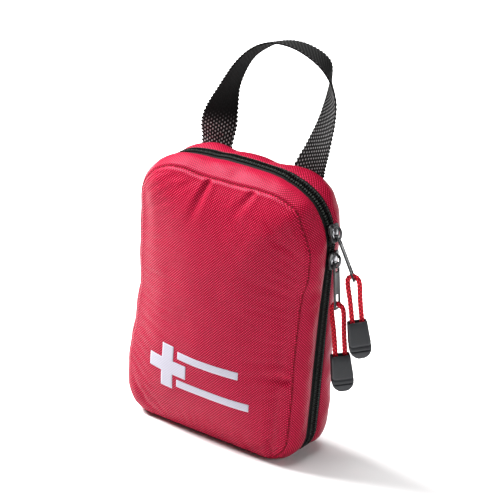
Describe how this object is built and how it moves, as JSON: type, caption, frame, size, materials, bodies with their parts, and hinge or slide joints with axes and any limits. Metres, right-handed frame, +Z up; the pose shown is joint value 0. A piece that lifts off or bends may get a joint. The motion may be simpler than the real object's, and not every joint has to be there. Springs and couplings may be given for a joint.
{
  "type": "first aid kit",
  "caption": "Soft zipped first aid pouch with a webbing carry loop, clamshell front, two zip sliders on cord pulls, and dressings packed inside.",
  "frame": {"origin": "on the flat base, at the middle of the width, just behind the fold line of the bottom", "axes": "+Z up through the handle, -Y out of the printed front, +X to the right seen from the front, towards the zip pulls"},
  "size_m": [0.1432, 0.0587, 0.2243],
  "materials": {
    "shell_cloth": "woven polyester, matt with a soft sheen",
    "binding_tape": "plain woven tape",
    "zip_tape": "woven zip tape",
    "zip_coil": "nylon coil, satin",
    "webbing": "polypropylene webbing, coarse weave",
    "elastic": "woven elastic",
    "print": "screen-printed film",
    "slider_metal": "black lacquered zinc, worn edges",
    "pull_cord": "braided cord",
    "cord_end": "moulded plastic, satin",
    "gauze": "open weave gauze",
    "crepe": "crepe elastic bandage",
    "wrapper": "sealed film",
    "pack_paper": "medical paper",
    "carton": "printed board",
    "foil": "metallised film",
    "nitrile": "nitrile film",
    "tweezer_steel": "brushed"
  },
  "bodies": {
    "back_half": {"back_panel": "shell_cloth", "back_gusset": "shell_cloth", "bottom_gusset_rear": "shell_cloth", "back_seam_binding": "binding_tape", "zip_tape_back": "zip_tape", "zip_coil_back": "zip_coil", "handle_strap": "webbing", "elastic_loop": "elastic", "gauze_bandage_roll": "gauze", "elastic_bandage_roll": "crepe", "triangular_bandage_pack": "pack_paper", "wound_dressing_pack": "wrapper", "plaster_pack": "carton", "cleansing_wipe_pack": "foil", "rescue_blanket_pack": "foil", "glove_pack": "nitrile", "tweezers": "tweezer_steel"},
    "front_half": {"front_panel": "shell_cloth", "front_gusset": "shell_cloth", "bottom_gusset_front": "shell_cloth", "front_seam_binding": "binding_tape", "zip_tape_front": "zip_tape", "zip_coil_front": "zip_coil", "cross_print": "print", "upper_bar_print": "print", "lower_bar_print": "print"},
    "slider_upper": {"slider_upper_body": "slider_metal", "slider_upper_bail": "slider_metal"},
    "slider_lower": {"slider_lower_body": "slider_metal", "slider_lower_bail": "slider_metal"},
    "pull_upper": {"pull_tab_upper": "slider_metal"},
    "pull_lower": {"pull_tab_lower": "slider_metal"},
    "cord_upper": {"cord_loop_upper": "pull_cord", "cord_end_upper_shell": "cord_end", "cord_end_upper_cap": "cord_end"},
    "cord_lower": {"cord_loop_lower": "pull_cord", "cord_end_lower_shell": "cord_end", "cord_end_lower_cap": "cord_end"}
  },
  "joints": [
    {"name": "front_open", "type": "hinge", "parent": "back_half", "child": "front_half", "pos_m": [0, -0.0015, 0], "axis": [1, 0, 0], "range_deg": [0, 175]},
    {"name": "slider_upper_travel", "type": "hinge", "parent": "back_half", "child": "slider_upper", "pos_m": [0.0265, -0.0015, 0.126], "axis": [0, -1, 0], "range_deg": [0, 72]},
    {"name": "slider_lower_travel", "type": "slide", "parent": "back_half", "child": "slider_lower", "axis": [0, 0, 1], "range_m": [-0.098, 0]},
    {"name": "pull_upper_swing", "type": "hinge", "parent": "slider_upper", "child": "pull_upper", "pos_m": [0.05931, -0.0015, 0.13301], "axis": [0, -1, 0], "range_deg": [0, 80]},
    {"name": "pull_lower_swing", "type": "hinge", "parent": "slider_lower", "child": "pull_lower", "pos_m": [0.06, -0.0015, 0.1174], "axis": [0, -1, 0], "range_deg": [-3, 1.5]},
    {"name": "cord_upper_swing", "type": "hinge", "parent": "pull_upper", "child": "cord_upper", "pos_m": [0.07075, -0.0015, 0.11398], "axis": [0, -1, 0], "range_deg": [0, 27]},
    {"name": "cord_lower_swing", "type": "hinge", "parent": "pull_lower", "child": "cord_lower", "pos_m": [0.06317, -0.0015, 0.09543], "axis": [0, -1, 0], "range_deg": [-7, 3]}
  ]
}
